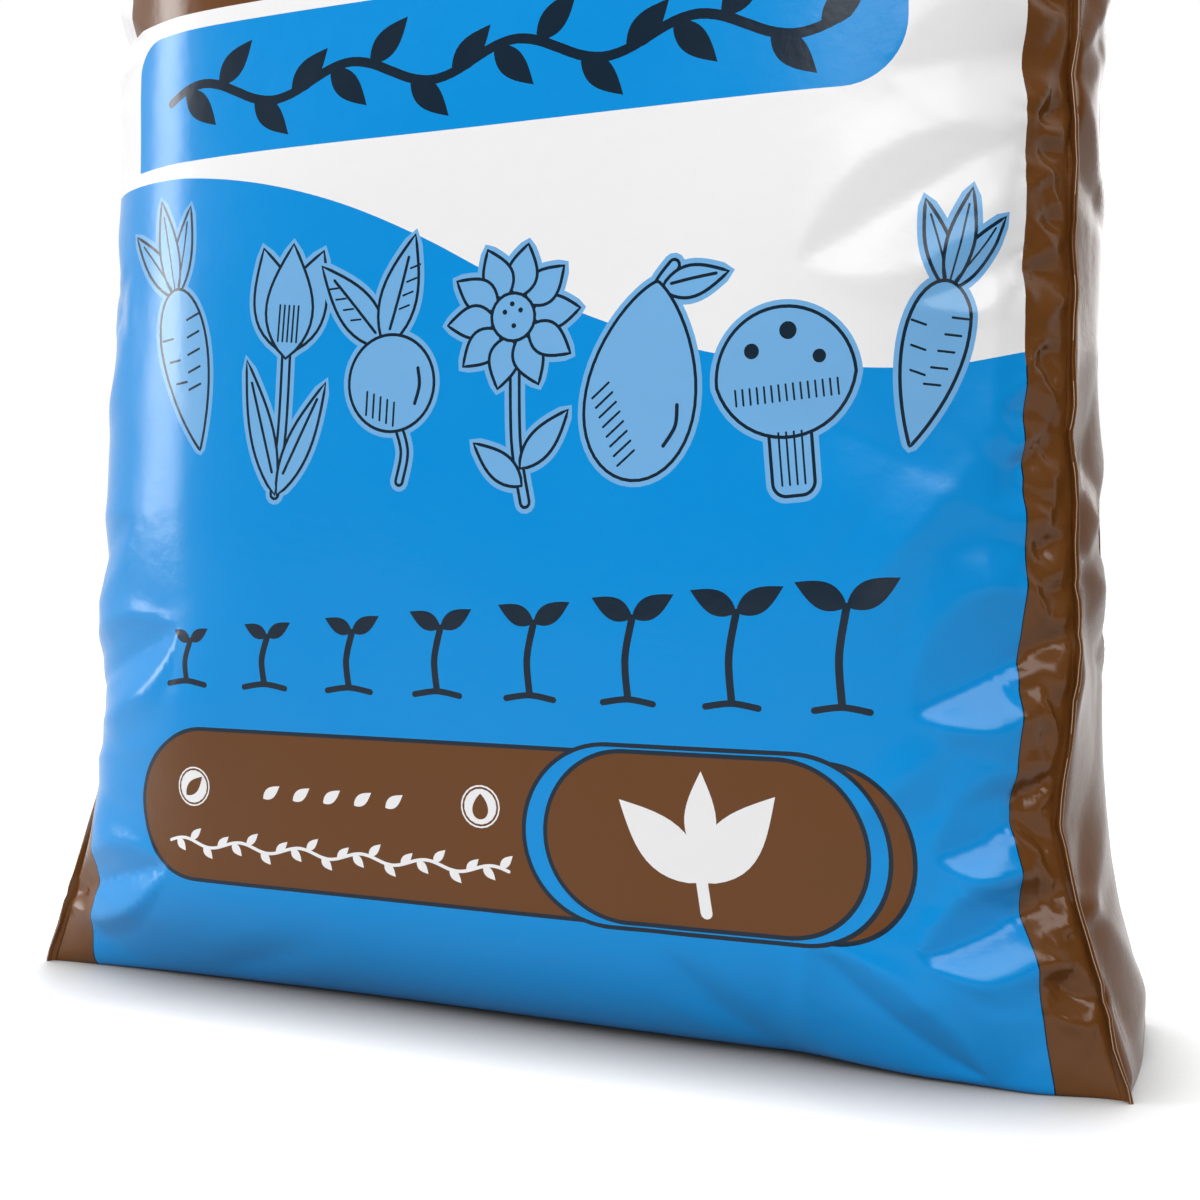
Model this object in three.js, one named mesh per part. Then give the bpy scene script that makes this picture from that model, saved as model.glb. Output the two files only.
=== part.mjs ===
// A filled film sack of garden compost, standing on its base.
// Millimetres, +Z up, origin at the middle of the base, printed front towards -Y.
// The closed sack is one solid: four upright edge seams pressed into fins, swelling panels,
// a base with pointed corner ears and a creased weld, and a flat welded header on top.
import * as THREE from 'three';

// Film
const PANEL_WIDTH = 420;       // front and back panel, edge seam to edge seam, laid flat
const FIN_LENGTH = 3.5;        // how far a pressed edge seam stands out
const FIN_THICKNESS = 1.2;
const HEADER_HEIGHT = 26;      // flat film from the top weld upwards
const HEADER_THICKNESS = 1.6;  // all the layers welded into one
const HEADER_SWAY = 5;         // the header runs in a slack S, this far to either side

// Filled body
const BODY_WIDTH = 390;        // between the edge seams, left to right, just above the ears
const SHOULDER_WIDTH = 384;    // the same at the shoulder
const BODY_DEPTH = 132;        // front crown to back crown
const SHOULDER_DEPTH = 28;     // between the edge seams, front to back, at the shoulder
const SIDE_CROWN = 5;          // how far each side swells past its seams
const PANEL_SQUARENESS = 7;    // power of the panels' crown: higher is flatter, with tighter edges
const SHOULDER_HEIGHT = 430;   // the panels start to close here
const WELD_HEIGHT = 574;       // and meet at the top weld
const PLEAT_DEPTH = 34;        // how far each side folds in below the weld
const PLEAT_ROOF = 2;          // the weld closes the pleat over this height

// Base
const EAR_SPAN = 430;          // tip to tip of the corner ears, left to right
const EAR_DEPTH = 88;          // tip to tip of the corner ears, front to back
const EAR_HEIGHT = 110;        // the ears run out into the edge seams at this height
const BASE_DEPTH = 64;         // flat part of the base between the ears
const PANEL_TURN = 50;         // height over which the panels turn under into the base
const SIDE_TURN = 28;          // height over which the sides turn under
const CREASE_WIDTH = 8;        // mouth of the weld crease along the middle of the base
const CREASE_FLOOR = 2;        // width of the crease at its bottom, where the weld is
const CREASE_DEPTH = 2.5;
const CREASE_INSET = 9;        // from the end of the crease to the side of the base

// Fineness of the mesh
const PANEL_STEPS = 24;
const SIDE_STEPS = 8;
const TURN_STEPS = 8;
const BODY_STEPS = 12;
const SHOULDER_STEPS = 12;
const HEADER_STEPS = 3;

const HEIGHT = WELD_HEIGHT + HEADER_HEIGHT;
const { lerp, clamp, smoothstep } = THREE.MathUtils;

// 1 at the floor, running out to 0 at the top of the ears.
function earShare(z) {
  return (1 - clamp(z / EAR_HEIGHT, 0, 1)) ** 2;
}

// 0 up to the shoulder, 1 at the weld: how far the panels have closed.
function closing(z) {
  return clamp((z - SHOULDER_HEIGHT) / (WELD_HEIGHT - SHOULDER_HEIGHT), 0, 1) ** 2;
}

// A quarter ellipse: 0 at the floor, 1 from the height of the turn upwards.
function turnUnder(z, turn) {
  return Math.sqrt(1 - (1 - clamp(z / turn, 0, 1)) ** 2);
}

function seamHalfWidth(z) {
  const waist = lerp(BODY_WIDTH, SHOULDER_WIDTH, smoothstep(z, EAR_HEIGHT, SHOULDER_HEIGHT));
  const body = lerp(waist, EAR_SPAN, earShare(z));
  return lerp(body, PANEL_WIDTH, closing(z)) / 2;
}

// The sides narrow evenly from the ears to the shoulder.
function seamHalfDepth(z) {
  const body = lerp(EAR_DEPTH, SHOULDER_DEPTH, clamp(z / SHOULDER_HEIGHT, 0, 1));
  return lerp(body, HEADER_THICKNESS, closing(z)) / 2;
}

function crownHalfDepth(z) {
  const body = lerp(BASE_DEPTH, BODY_DEPTH, turnUnder(z, PANEL_TURN));
  return lerp(body, HEADER_THICKNESS, closing(z)) / 2;
}

// 0 on the filled body, 1 where the sides are fully folded in under the weld.
function pleating(z) {
  return z < WELD_HEIGHT ? smoothstep(z, SHOULDER_HEIGHT, WELD_HEIGHT - PLEAT_ROOF) : 0;
}

// Outward swell of a side, or, near the weld, its inward fold as a negative number.
function sideCrown(z) {
  const swell = SIDE_CROWN * turnUnder(z, SIDE_TURN) * (1 - closing(z));
  return z < WELD_HEIGHT ? lerp(swell, -PLEAT_DEPTH, pleating(z)) : 0;
}

// The two outer corners of a fin. `seam` is its root, `back` is -1 on the front and 1 on the back.
function finTips(seam, back, length) {
  const out = new THREE.Vector2(1, back).normalize();
  const across = new THREE.Vector2(1, -back).normalize().multiplyScalar(FIN_THICKNESS / 2);
  const end = seam.clone().addScaledVector(out, length);
  const panelSide = end.clone().sub(across);
  const gussetSide = end.clone().add(across);
  return back < 0 ? [panelSide, gussetSide] : [gussetSide, panelSide];
}

// Half of the outline at height z: the front panel from left to right, then the right side.
function halfOutline(z) {
  const width = seamHalfWidth(z);
  const depth = seamHalfDepth(z);
  const crown = crownHalfDepth(z) - depth;
  const root = FIN_THICKNESS / 2 * Math.SQRT1_2;
  const finLength = lerp(FIN_LENGTH, FIN_THICKNESS / 2, closing(z));
  const points = [];
  for (let i = 0; i <= PANEL_STEPS; i += 1) {
    const s = -Math.cos(Math.PI * i / PANEL_STEPS);
    const swell = crown * (1 - Math.abs(s) ** PANEL_SQUARENESS);
    points.push(new THREE.Vector2((width - root) * s, -depth - root - swell));
  }
  points.push(...finTips(new THREE.Vector2(width, -depth), -1, finLength));
  for (let i = 0; i <= SIDE_STEPS; i += 1) {
    const q = 2 * i / SIDE_STEPS - 1;
    const bow = lerp(1 - q * q, 1 - Math.abs(q), pleating(z));
    points.push(new THREE.Vector2(width + root + sideCrown(z) * bow, (depth - root) * q));
  }
  points.push(...finTips(new THREE.Vector2(width, depth), 1, finLength));
  return points;
}

// The whole outline, anticlockwise from above: the second half is the first turned half round.
function outline(z) {
  const half = halfOutline(z);
  return [...half, ...half.map((point) => point.clone().negate())];
}

function ring(z) {
  const sway = HEADER_SWAY * closing(z);
  return outline(z).map((point) => {
    const swayed = point.y + sway * Math.sin(2 * Math.PI * point.x / PANEL_WIDTH);
    return new THREE.Vector3(point.x, swayed, z);
  });
}

// The outline of the base drawn in to a strip along its middle.
function creaseRing(width, z) {
  const shrinkX = 1 - 2 * CREASE_INSET / EAR_SPAN;
  const shrinkY = width / EAR_DEPTH;
  return outline(0).map((point) => new THREE.Vector3(point.x * shrinkX, point.y * shrinkY, z));
}

// Rings from the crease of the base, round its edge, up the body and to the top of the header.
function bagRings() {
  const rings = [creaseRing(CREASE_FLOOR, CREASE_DEPTH), creaseRing(CREASE_WIDTH, 0)];
  for (let i = 0; i < TURN_STEPS; i += 1) {
    rings.push(ring(PANEL_TURN * (1 - Math.cos(Math.PI / 2 * i / TURN_STEPS))));
  }
  for (let i = 0; i < BODY_STEPS; i += 1) {
    rings.push(ring(lerp(PANEL_TURN, SHOULDER_HEIGHT, i / BODY_STEPS)));
  }
  for (let i = 0; i <= SHOULDER_STEPS; i += 1) {
    rings.push(ring(lerp(SHOULDER_HEIGHT, WELD_HEIGHT - PLEAT_ROOF, i / SHOULDER_STEPS)));
  }
  for (let i = 0; i <= HEADER_STEPS; i += 1) {
    rings.push(ring(lerp(WELD_HEIGHT, HEIGHT, i / HEADER_STEPS)));
  }
  return rings;
}

// A closed skin through rings of equal length, with a flat cap on the first and the last.
function loft(rings) {
  const count = rings[0].length;
  const faces = [];
  for (let row = 0; row + 1 < rings.length; row += 1) {
    for (let i = 0; i < count; i += 1) {
      const a = row * count + i;
      const b = row * count + (i + 1) % count;
      faces.push(a, b, b + count, a, b + count, a + count);
    }
  }
  const cap = (points) => THREE.ShapeUtils.triangulateShape(
    points.map((point) => new THREE.Vector2(point.x, point.y)),
    [],
  );
  const top = (rings.length - 1) * count;
  cap(rings[0]).forEach(([a, b, c]) => faces.push(a, c, b));
  cap(rings.at(-1)).forEach(([a, b, c]) => faces.push(top + a, top + b, top + c));
  const geometry = new THREE.BufferGeometry().setFromPoints(rings.flat());
  geometry.setIndex(faces);
  geometry.computeVertexNormals();
  return geometry;
}

const printedFilm = new THREE.MeshStandardMaterial({
  color: '#2092da',
  roughness: 0.3,
  metalness: 0,
});

const bag = new THREE.Mesh(loft(bagRings()), printedFilm);
bag.name = 'compost_bag';

const part = new THREE.Group();
part.add(bag);

export default part;
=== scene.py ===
import math

import bpy
import numpy as np
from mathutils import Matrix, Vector
from mathutils.geometry import delaunay_2d_cdt, tessellate_polygon
from mathutils.kdtree import KDTree


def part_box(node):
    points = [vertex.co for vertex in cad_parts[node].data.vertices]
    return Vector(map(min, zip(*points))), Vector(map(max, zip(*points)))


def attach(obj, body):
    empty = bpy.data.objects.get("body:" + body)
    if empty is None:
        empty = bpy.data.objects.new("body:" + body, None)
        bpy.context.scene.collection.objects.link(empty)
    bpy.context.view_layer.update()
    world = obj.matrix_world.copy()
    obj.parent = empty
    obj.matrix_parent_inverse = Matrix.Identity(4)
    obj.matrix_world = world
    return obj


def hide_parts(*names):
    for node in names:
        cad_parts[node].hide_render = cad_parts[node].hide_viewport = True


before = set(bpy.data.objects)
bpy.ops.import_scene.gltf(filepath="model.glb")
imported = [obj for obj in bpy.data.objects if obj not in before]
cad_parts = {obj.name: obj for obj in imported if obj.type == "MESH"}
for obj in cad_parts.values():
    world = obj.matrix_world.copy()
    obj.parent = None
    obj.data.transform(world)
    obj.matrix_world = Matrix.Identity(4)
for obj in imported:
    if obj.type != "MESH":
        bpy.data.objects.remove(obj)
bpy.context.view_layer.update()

# Sizes of the bag, in metres. The printed front looks towards -Y, and z is measured from the floor.
NODE = "compost_bag"
low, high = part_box(NODE)
HEIGHT = high[2]
# The roots of the fins add this to the depth of the body.
FIN_ROOTS = 0.0008
BODY_DEPTH = high[1] - low[1] - FIN_ROOTS
PANEL_WIDTH = 0.420
BODY_WIDTH = 0.390
SHOULDER_WIDTH = 0.384
SHOULDER_DEPTH = 0.028
SIDE_CROWN = 0.005
SIDE_LEAN = 0.6
PANEL_SQUARENESS = 7
BASE_SQUARENESS = 3
SHOULDER_HEIGHT = 0.430
WELD_HEIGHT = 0.574
HEADER_THICKNESS = 0.0012
HEADER_SWAY = 0.005
PLEAT_DEPTH = 0.034
PLEAT_ROOF = 0.002
EAR_SPAN = 0.430
EAR_DEPTH = 0.088
EAR_HEIGHT = 0.110
BASE_DEPTH = 0.064
PANEL_TURN = 0.050
SIDE_TURN = 0.028
CREASE_WIDTH = 0.008
CREASE_FLOOR = 0.002
CREASE_DEPTH = 0.0025
CREASE_INSET = 0.009
FIN_LENGTH = 0.0024
FIN_THICKNESS = 0.0016
FIN_NOTCH = 0.0011
# Along a seam its fin turns and changes in length, with a kink every few rows of the mesh.
FIN_TURN = 0.35
FIN_WANDER = 0.12
KINK_ROWS = 6
# Round each lip of a fin, in degrees, and its thickness as a share of half the fin
LIP_ANGLES = [90, 45, 0, -60]
LIP_SHARE = 0.45
# The strip of a lip that is painted in paler brown as a painted highlight, wherever the wandering value
# lies above this one
HIGHLIGHT_STRIP = 2
HIGHLIGHT_FROM = -0.35
# The film dips beside a fin.
GROOVE_DEPTH = 0.0013
GROOVE_WIDTH = 0.0019
GROOVE_REACH = 3 * GROOVE_WIDTH

# The bag has settled unevenly. Zones across a panel go from 0 at its middle to 1 at its seam.
# The left front seam is drawn back, from one pair of heights to the other.
LEFT_DRAW = 0.026
LEFT_DRAW_ZONE = 0.6
LEFT_DRAW_STARTS = (0.02, 0.11)
LEFT_DRAW_ENDS = (0.44, 0.56)
# The left ear is drawn in, most at the middle one of these heights.
LEFT_EAR_DRAW = 0.0035
LEFT_EAR_HEIGHTS = (0, 0.035, 0.085)
# The back is drawn in.
BACK_DRAW = 0.003
BACK_EAR_DRAW = 0.004
BACK_ZONE = 0.6
# The front bulges forwards at the right of the base, between the first and the last of these zones.
LOBE_DRAW = 0.008
LOBE_HEIGHT = 0.055
LOBE_ZONES = (0.50, 0.72, 0.84)
# The left of the front swells most at the second zone, less at the seam, and the left side swells with it.
SWELL_ZONES = (0.70, 0.93)
SWELL_LOST_AT_SEAM = 0.45
SWELL_OF_SIDE = 0.55
# How far the left of the front swells, every SWELL_STEP from the floor up
SWELL_STEP = 0.030
LEFT_SWELL = [0, 0.0025, 0.0074, 0.0115, 0.0160, 0.0158, 0.0156, 0.0150, 0.0136, 0.0115, 0.0105,
              0.0100, 0.0104, 0.0108, 0.0100, 0.0080, 0.0050, 0.0020, 0, 0, 0]
# How far the right side swells, and how far the right front seam is pulled in: height, way
RIGHT_SWELL = [(0, 0.002), (0.06, 0.002), (0.12, 0), (0.18, -0.001), (0.30, 0.0005), (0.345, 0.004),
               (0.40, 0.004), (0.46, 0)]
SEAM_PULL = [(0, 0.002), (0.030, 0.0012), (0.048, 0.0022), (0.083, 0.0070), (0.109, 0.0030),
             (0.130, 0.0004), (0.150, 0.0008), (0.195, 0.0020), (0.2075, 0.0035), (0.218, 0.0026),
             (0.312, 0.0023), (0.324, 0.0036), (0.336, 0.0020), (0.43, 0.0015), (0.5, 0)]
PULL_ZONE = 0.80

# Fineness of the film: the grid that folds, and the rows and columns of the finished mesh
FILM_STEP = 0.002
ROW_STEP = 0.0026
EDGE_STEP = 0.0036
BACK_STEP = 0.0070
SIDE_STEPS = 26
SIDE_INSET = 0.12
SIDE_EVENNESS = 0.5
EDGE_ZONE = 0.075
SEAM_PLACES = np.array([0, 0.0009, 0.0020, 0.0034, 0.0052])
# The front's mesh gets coarser away from the seams: start and end of each band, and its step
FRONT_BANDS = [(0.0069, 0.056, 0.0020), (0.0580, 0.112, 0.0026), (0.1155, 0.207, 0.0050)]
# A place of that mesh this near to a line of the print is left out.
LINE_CLEARANCE = 0.0008
# Points of the curves along which the film is measured, and the share of a grid step for its slopes
ROW_SAMPLES = 6000
COLUMN_SAMPLES = 4001
SLOPE_STEP = 0.2
# Places nearer than this are one. The smaller value only keeps a division from failing.
SAME_PLACE = 1e-6
TINY = 1e-12


# Form of the filled bag

def lerp(a, b, t):
    return a + (b - a) * t


def smooth(x, start, end):
    t = np.clip((x - start) / (end - start), 0, 1)
    return t * t * (3 - 2 * t)


def curve_shares(place, count):
    """The four neighbours of each place along one way of a grid, and their shares in a smooth curve."""
    start = np.clip(np.floor(place).astype(int), 0, count - 2)
    t = place - start
    near = np.clip(start[:, None] + np.arange(-1, 3), 0, count - 1)
    shares = [
        -t ** 3 + 2 * t ** 2 - t,
        3 * t ** 3 - 5 * t ** 2 + 2,
        -3 * t ** 3 + 4 * t ** 2 + t,
        t ** 3 - t ** 2,
    ]
    return near, np.stack(shares, 1) / 2


def ear_share(z):
    """1 at the floor, running out to 0 at the top of the ears."""
    return (1 - np.clip(z / EAR_HEIGHT, 0, 1)) ** 2


def closing(z):
    """0 up to the shoulder, 1 at the weld."""
    return np.clip((z - SHOULDER_HEIGHT) / (WELD_HEIGHT - SHOULDER_HEIGHT), 0, 1) ** 2


def turn_under(z, turn):
    """A quarter ellipse: 0 at the floor, 1 from the height of the turn upwards."""
    return np.sqrt(1 - (1 - np.clip(z / turn, 0, 1)) ** 2)


def seam_half_width(z):
    waist = lerp(BODY_WIDTH, SHOULDER_WIDTH, smooth(z, EAR_HEIGHT, SHOULDER_HEIGHT))
    return lerp(lerp(waist, EAR_SPAN, ear_share(z)), PANEL_WIDTH, closing(z)) / 2


def seam_half_depth(z):
    body = lerp(EAR_DEPTH, SHOULDER_DEPTH, np.clip(z / SHOULDER_HEIGHT, 0, 1))
    return lerp(body, HEADER_THICKNESS, closing(z)) / 2


def crown_half_depth(z):
    body = lerp(BASE_DEPTH, BODY_DEPTH, turn_under(z, PANEL_TURN))
    return lerp(body, HEADER_THICKNESS, closing(z)) / 2


def pleating(z):
    """0 on the filled body, 1 where the sides are fully folded in under the weld."""
    return np.where(z < WELD_HEIGHT, smooth(z, SHOULDER_HEIGHT, WELD_HEIGHT - PLEAT_ROOF), 0)


def side_crown(z):
    """Outward swell of a side, or, near the weld, its inward fold as a negative number."""
    swell = SIDE_CROWN * turn_under(z, SIDE_TURN) * (1 - closing(z))
    return np.where(z < WELD_HEIGHT, lerp(swell, -PLEAT_DEPTH, pleating(z)), 0)


def panel_point(s, z):
    """Front panel: s runs from -1 at the left seam to 1 at the right seam."""
    depth = seam_half_depth(z)
    squareness = lerp(BASE_SQUARENESS, PANEL_SQUARENESS, smooth(z, 0, PANEL_TURN))
    swell = (crown_half_depth(z) - depth) * (1 - np.abs(s) ** squareness)
    return np.stack(np.broadcast_arrays(seam_half_width(z) * s, -depth - swell, z), -1)


def side_point(q, z):
    """Right side: q runs from -1 at the front seam to 1 at the back seam."""
    bow = lerp((1 - q * q) * (1 + SIDE_LEAN * q), 1 - np.abs(q), pleating(z))
    x = seam_half_width(z) + side_crown(z) * bow
    return np.stack(np.broadcast_arrays(x, seam_half_depth(z) * q, z), -1)


def arc_lengths(points):
    steps = np.linalg.norm(np.diff(points, axis=0), axis=1)
    return np.concatenate([[0], np.cumsum(steps)])


def film_rows():
    """Heights of the rows, an equal way apart along the middle of the front, and that way itself."""
    z = HEIGHT * np.linspace(0, 1, ROW_SAMPLES) ** 2
    way = arc_lengths(panel_point(np.zeros_like(z), z))
    along = np.linspace(0, way[-1], int(round(way[-1] / FILM_STEP)) + 1)
    return np.interp(along, way, z), along


def panel_columns(count):
    """Places s of the columns, an equal way apart across the panel at mid height, and that way itself."""
    s = np.linspace(-1, 1, COLUMN_SAMPLES)
    way = arc_lengths(panel_point(s, np.full_like(s, HEIGHT / 2)))
    across = np.linspace(0, way[-1], count)
    return np.interp(across, way, s), across - way[-1] / 2


ROW_Z, ROW_WAY = film_rows()
PANEL_COUNT = 2 * int(PANEL_WIDTH / FILM_STEP / 2) + 1
SIDE_COUNT = 2 * int(EAR_DEPTH / FILM_STEP / 3) + 2
PANEL_S, PANEL_WAY = panel_columns(PANEL_COUNT)
SIDE_Q = np.linspace(-1, 1, SIDE_COUNT + 2)[1:-1]
SEAM_WAY = PANEL_WAY[-1]


def settled_unevenly(form):
    """Draws and swells the taut film where the bag has settled."""
    z = ROW_Z
    to_right = PANEL_S
    to_left = -PANEL_S
    to_back = (SIDE_Q + 1) / 2
    still = np.zeros(PANEL_COUNT)
    still_side = np.zeros(SIDE_COUNT)

    def around(front, right, back, left):
        return np.concatenate([front, right, back, left])

    def zone(place, start):
        return np.clip((place - start) / (1 - start), 0, 1)

    drawn = around(zone(to_left, LEFT_DRAW_ZONE) ** 3, still_side, still, to_back)
    lost = SWELL_LOST_AT_SEAM * smooth(to_left, SWELL_ZONES[1], 1)
    left_turn = smooth(to_left, *SWELL_ZONES) * (1 - lost)
    swollen = around(left_turn, still_side, still, SWELL_OF_SIDE * to_back)
    pulled = around(zone(to_right, PULL_ZONE) ** 2, (1 - to_back) ** 2, still, still_side)
    bulging = around(still, 1 - SIDE_Q ** 2, still, still_side)
    lobe_start, lobe_full, lobe_end = LOBE_ZONES
    lobe = smooth(to_right, lobe_start, lobe_full) * (1 - smooth(to_right, lobe_end, 1))
    lobe = around(lobe, still_side, still, still_side)
    inward = around(still, to_back, smooth(np.abs(PANEL_S), BACK_ZONE, 1), 1 - to_back)

    ear_low, ear_middle, ear_high = LEFT_EAR_HEIGHTS
    ear = smooth(z, ear_low, ear_middle) * (1 - smooth(z, ear_middle, ear_high))
    near, shares = curve_shares(z / SWELL_STEP, len(LEFT_SWELL))
    left_swell = (shares * np.array(LEFT_SWELL)[near]).sum(1) - LEFT_EAR_DRAW * ear
    left_draw = LEFT_DRAW * smooth(z, *LEFT_DRAW_STARTS) * (1 - smooth(z, *LEFT_DRAW_ENDS))
    lobe_draw = LOBE_DRAW * (1 - smooth(z, 0, LOBE_HEIGHT))
    back_draw = BACK_DRAW * (1 - closing(z)) + BACK_EAR_DRAW * ear_share(z)
    form[..., 1] += left_draw[:, None] * drawn
    form[..., 1] -= lobe_draw[:, None] * lobe
    form[..., 0] -= left_swell[:, None] * swollen
    form[..., 0] -= np.interp(z, *zip(*SEAM_PULL))[:, None] * pulled
    form[..., 0] += np.interp(z, *zip(*RIGHT_SWELL))[:, None] * bulging
    form[..., 0] -= back_draw[:, None] * inward * np.sign(form[..., 0])


def film_form():
    """The taut film on the fill: front panel, right side, back panel, left side."""
    z = ROW_Z[:, None]
    front = panel_point(PANEL_S[None, :], z)
    side = side_point(SIDE_Q[None, :], z)
    half = np.concatenate([front, side], 1)
    form = np.concatenate([half, half * (-1, -1, 1)], 1)
    settled_unevenly(form)
    form[..., 1] += HEADER_SWAY * closing(z) * np.sin(2 * np.pi * form[..., 0] / PANEL_WIDTH)
    return form


# Folds. A fold fans out from a pinch of an edge seam: its fold lines have a bearing from the level way in,
# and between them the film lies in flat facets.
# Each pinch: way up the film, bearing of its groove in degrees, depth, reach, spread of its fold lines
FRONT_RIGHT_PINCHES = [
    (0.044, 14, 0.15, 0.060, 1.0),
    (0.072, 4, 0.15, 0.105, 1.4),
    (0.115, -10, 0.17, 0.095, 1.4),
    (0.162, -18, 0.08, 0.130, 1.8),
    (0.192, 35, 0.13, 0.075, 1.0),
    (0.226, -34, 0.09, 0.080, 1.2),
    (0.262, 24, 0.06, 0.070, 1.2),
    (0.300, -42, 0.07, 0.115, 1.5),
    (0.345, -12, 0.06, 0.125, 1.5),
    (0.400, 24, 0.07, 0.100, 1.2),
    (0.452, -25, 0.14, 0.090, 1.2),
    (0.500, 10, 0.13, 0.080, 1.0),
]
FRONT_LEFT_PINCHES = [
    (0.052, 16, 0.14, 0.090, 1.2),
    (0.096, 40, 0.12, 0.110, 1.3),
    (0.134, 24, 0.12, 0.110, 1.4),
    (0.196, -24, 0.05, 0.090, 1.3),
    (0.250, 20, 0.04, 0.080, 1.2),
    (0.310, -18, 0.04, 0.090, 1.3),
    (0.370, 14, 0.05, 0.080, 1.2),
    (0.430, 20, 0.08, 0.090, 1.2),
    (0.480, -20, 0.09, 0.080, 1.2),
]
# Long steep folds of the sides, from their front seam and from their back seam
SIDE_FRONT_PINCHES = [
    (0.062, 58, 0.09, 0.075, 1.0),
    (0.085, -66, 0.14, 0.110, 1.0),
    (0.172, 64, 0.09, 0.120, 1.0),
    (0.225, -70, 0.09, 0.130, 1.0),
    (0.345, 72, 0.09, 0.120, 1.0),
    (0.420, -68, 0.08, 0.100, 1.0),
]
SIDE_BACK_PINCHES = [
    (0.050, -50, 0.10, 0.080, 1.0),
    (0.140, 66, 0.08, 0.120, 1.0),
    (0.206, -68, 0.08, 0.120, 1.0),
    (0.288, 70, 0.07, 0.130, 1.0),
    (0.372, -70, 0.07, 0.110, 1.0),
    (0.455, 66, 0.07, 0.090, 1.0),
]
# Fold lines of a fan, in degrees from its groove, how far the film stands out there and along the seam,
# how near to the seam a fold line may turn, and how fast a fan fades
FAN_OFFSETS = np.array([-58, -40, -20, 0, 24, 46])
FAN_LIFTS = np.array([0.25, -0.45, 1.0, -1.0, 0.6, -0.2])
SEAM_LIFT = 0.30
FAN_WIDEST = 88
FAN_FADE = 1.5
# The front's fans are this shallow, as its pockets come on top of them.
FRONT_FANS = 0.45

# Pockets of the front, with a flat facet on both sides of a groove that runs in from a seam: both ends
# of the groove across and up the film, how wide the pocket is above and below it, and its depth
FRONT_POCKETS = [
    ((0.2085, 0.1620), (0.149, 0.1365), 0.027, 0.0160, 0.0039),
    ((0.2060, 0.1080), (0.154, 0.0905), 0.018, 0.0140, 0.0036),
    ((0.2080, 0.0815), (0.146, 0.0590), 0.014, 0.0155, 0.0047),
    ((0.2110, 0.0460), (0.184, 0.0530), 0.008, 0.011, 0.0022),
    ((0.2095, 0.1770), (0.188, 0.1720), 0.006, 0.008, 0.0015),
    ((0.2095, 0.2250), (0.176, 0.2320), 0.010, 0.012, 0.0014),
    ((0.1840, 0.2790), (0.148, 0.2660), 0.012, 0.010, 0.0016),
    ((0.2095, 0.2930), (0.189, 0.2620), 0.008, 0.010, 0.0012),
    ((0.1820, 0.3180), (0.112, 0.2790), 0.017, 0.022, 0.0021),
    ((0.2000, 0.3470), (0.140, 0.3370), 0.020, 0.018, 0.0014),
    ((0.2095, 0.4050), (0.140, 0.3800), 0.018, 0.018, 0.0019),
    ((0.2095, 0.4600), (0.160, 0.4750), 0.012, 0.014, 0.0028),
    ((0.1560, 0.0120), (0.112, 0.0600), 0.013, 0.030, 0.0032),
    ((-0.2095, 0.1180), (-0.134, 0.1580), 0.019, 0.017, 0.0036),
    ((-0.2095, 0.0440), (-0.134, 0.0660), 0.014, 0.015, 0.0040),
    ((-0.2095, 0.1660), (-0.156, 0.2000), 0.016, 0.015, 0.0016),
    ((-0.2095, 0.2300), (-0.160, 0.3000), 0.015, 0.017, 0.0015),
    ((-0.2095, 0.3300), (-0.160, 0.2700), 0.014, 0.016, 0.0014),
    ((-0.2095, 0.4000), (-0.150, 0.3850), 0.012, 0.014, 0.0030),
    ((-0.2095, 0.4600), (-0.160, 0.4800), 0.012, 0.014, 0.0030),
]
# Across a pocket, from its lower to its upper side: widths from the groove, and how far the film stands out
POCKET_ACROSS = np.array([-1.7, -1.0, 0.0, 1.0, 1.7])
POCKET_LIFTS = np.array([0.0, 0.40, -1.0, 0.25, 0.0])
POCKET_FULLNESS = 0.8

# Long soft creases of the front: both ends across and up the film, depth, half width
FRONT_CREASES = [
    ((0.060, 0.056), (0.094, 0.014), 0.0020, 0.012),
    ((0.172, 0.176), (0.178, 0.330), -0.0014, 0.013),
    ((0.128, 0.168), (0.176, 0.226), -0.0016, 0.016),
    ((0.124, 0.096), (0.160, 0.128), -0.0012, 0.012),
    ((0.096, 0.240), (0.170, 0.205), 0.0012, 0.018),
    ((-0.120, 0.016), (-0.070, 0.040), 0.0014, 0.014),
]
# A crease fades over this share of its length, and this is how sharp its bottom is.
CREASE_FADE = 0.1
CREASE_SHARPNESS = 1.3

# Scattered pinches: ways up the film, jitter as a share of the gap, steepest bearing, and the spread
# of the fold lines
PINCH_WAYS = (0.05, 0.52)
PINCH_JITTER = 0.3
PINCH_BEARING = 45
PINCH_SPREAD = 1.2
# Fine creases beside the right seam: ways up, gap, distances from the seam, steepest bearing, lengths,
# greatest depth and half width
FINE_WAYS = (0.030, 0.5)
FINE_GAP = 0.0055
FINE_STARTS = (0.002, 0.012)
FINE_BEARING = 70
FINE_LENGTHS = (0.010, 0.022)
FINE_DEPTH = 0.0016
FINE_WIDTH = 0.0032
# Scattered pockets: ways up, lean of the groove, and the least share of the full depth
POCKET_WAYS = (0.050, 0.5)
POCKET_LEAN = 0.45
POCKET_SHALLOWEST = 0.6


def scattered_pinches(seed, gap, depths, reaches):
    """Pinches along a seam, about a gap apart."""
    chance = np.random.default_rng(seed)
    ways = np.arange(*PINCH_WAYS, gap)
    ways = ways + chance.uniform(-PINCH_JITTER, PINCH_JITTER, len(ways)) * gap
    pinches = []
    for way in ways:
        bearing = chance.uniform(-PINCH_BEARING, PINCH_BEARING)
        depth = chance.uniform(*depths)
        pinches.append((way, bearing, depth, chance.uniform(*reaches), PINCH_SPREAD))
    return pinches


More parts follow.
